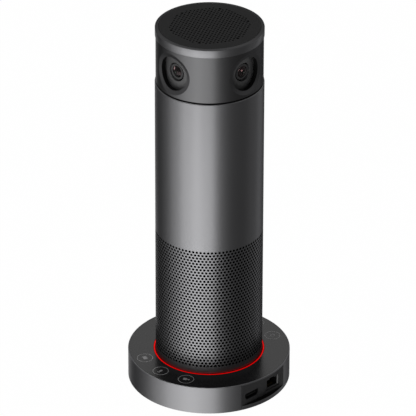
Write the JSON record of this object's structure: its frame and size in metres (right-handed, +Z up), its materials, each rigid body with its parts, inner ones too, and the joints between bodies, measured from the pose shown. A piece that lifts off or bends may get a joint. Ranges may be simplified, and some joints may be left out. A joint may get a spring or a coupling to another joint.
{
  "type": "360 degree conference camera",
  "caption": "Tall round tabletop camera with lenses all round its head, a loudspeaker column and a base with touch keys and sockets; a drum turns the lenses out of sight.",
  "frame": {"origin": "centre of the foot on the table, on the column's axis", "axes": "+Z up along the column, +X toward the sockets"},
  "size_m": [0.1336, 0.1336, 0.3212],
  "materials": {
    "dark_metal": "satin dark grey anodised look",
    "head_finish": "satin, a little darker than the column",
    "top_glass": "smooth dark touch surface",
    "key_print": "grey print",
    "light_red": "red light guide",
    "black_plastic": "black moulded plastic",
    "rubber": "black rubber",
    "steel": "zinc plated",
    "ballast": "black steel weight",
    "board": "green solder mask",
    "chip": "black component bodies",
    "lamp": "pale lamp body",
    "socket_metal": "nickel plated shell",
    "gold": "gold plated contacts",
    "grille_cloth": "black acoustic cloth",
    "cone": "pressed paper cone",
    "magnet": "ferrite magnet",
    "copper": "copper winding",
    "aluminium": "plain",
    "nylon": "natural nylon",
    "bush_brass": "plain",
    "lens_black": "black lens barrel",
    "lens_glass": "coated glass",
    "cable_grey": "flat cable"
  },
  "bodies": {
    "housing": {"foot_pad": "rubber", "bottom_cover": "black_plastic", "bottom_screws": "steel", "ballast_plate": "ballast", "base_ring": "dark_metal", "base_chassis": "black_plastic", "base_top_plate": "top_glass", "touch_marks": "key_print", "touch_board": "board", "light_ring": "light_red", "lamp_board": "board", "lamps": "lamp", "port_board": "board", "display_shell": "socket_metal", "display_tongue": "black_plastic", "network_shield": "socket_metal", "network_body": "black_plastic", "network_contacts": "gold", "flat_cable": "cable_grey", "board_parts": "chip", "column_frame": "black_plastic", "body_sleeve": "dark_metal", "sleeve_cloth": "grille_cloth", "sound_diffuser": "black_plastic", "speaker_basket": "steel", "speaker_surround": "rubber", "speaker_magnet": "magnet", "speaker_irons": "steel", "speaker_box": "black_plastic", "upper_frame": "black_plastic", "tie_rods": "steel", "processor_board": "board", "heat_sink": "aluminium", "neck_plate": "black_plastic", "drum_motor": "steel", "head_post": "steel", "drum_liner": "black_plastic", "head_shell": "head_finish", "mic_carrier": "black_plastic", "mic_board": "board", "microphones": "aluminium", "mic_gaskets": "rubber", "grille_cloth": "grille_cloth", "cap_ring": "dark_metal", "top_grille": "head_finish"},
    "drum": {"lens_drum": "black_plastic", "drum_gear": "nylon", "drum_bush": "bush_brass", "lens_barrel_right": "lens_black", "lens_barrel_back": "lens_black", "lens_barrel_left": "lens_black", "lens_barrel_front": "lens_black", "lens_front_glasses": "lens_glass", "lens_rear_glasses": "lens_glass", "sensor_boards": "board"},
    "pinion": {"drive_pinion": "nylon", "motor_shaft": "steel"},
    "cone": {"speaker_cone": "cone", "voice_coil": "copper"}
  },
  "joints": [
    {"name": "drum_turn", "type": "hinge", "parent": "housing", "child": "drum", "pos_m": [0, 0, 0.2932], "axis": [0, 0, 1], "range_deg": [0, 45]},
    {"name": "pinion_turn", "type": "hinge", "parent": "housing", "child": "pinion", "pos_m": [0.0288, 0, 0.2764], "axis": [0, 0, 1], "range_deg": [-225, 0]},
    {"name": "cone_stroke", "type": "slide", "parent": "housing", "child": "cone", "axis": [0, 0, 1], "range_m": [-0.0015, 0.0015], "stiffness_N_per_m": 1200}
  ],
  "couplings": [
    {"joint": "pinion_turn", "follows": "drum_turn", "ratio": -5}
  ]
}
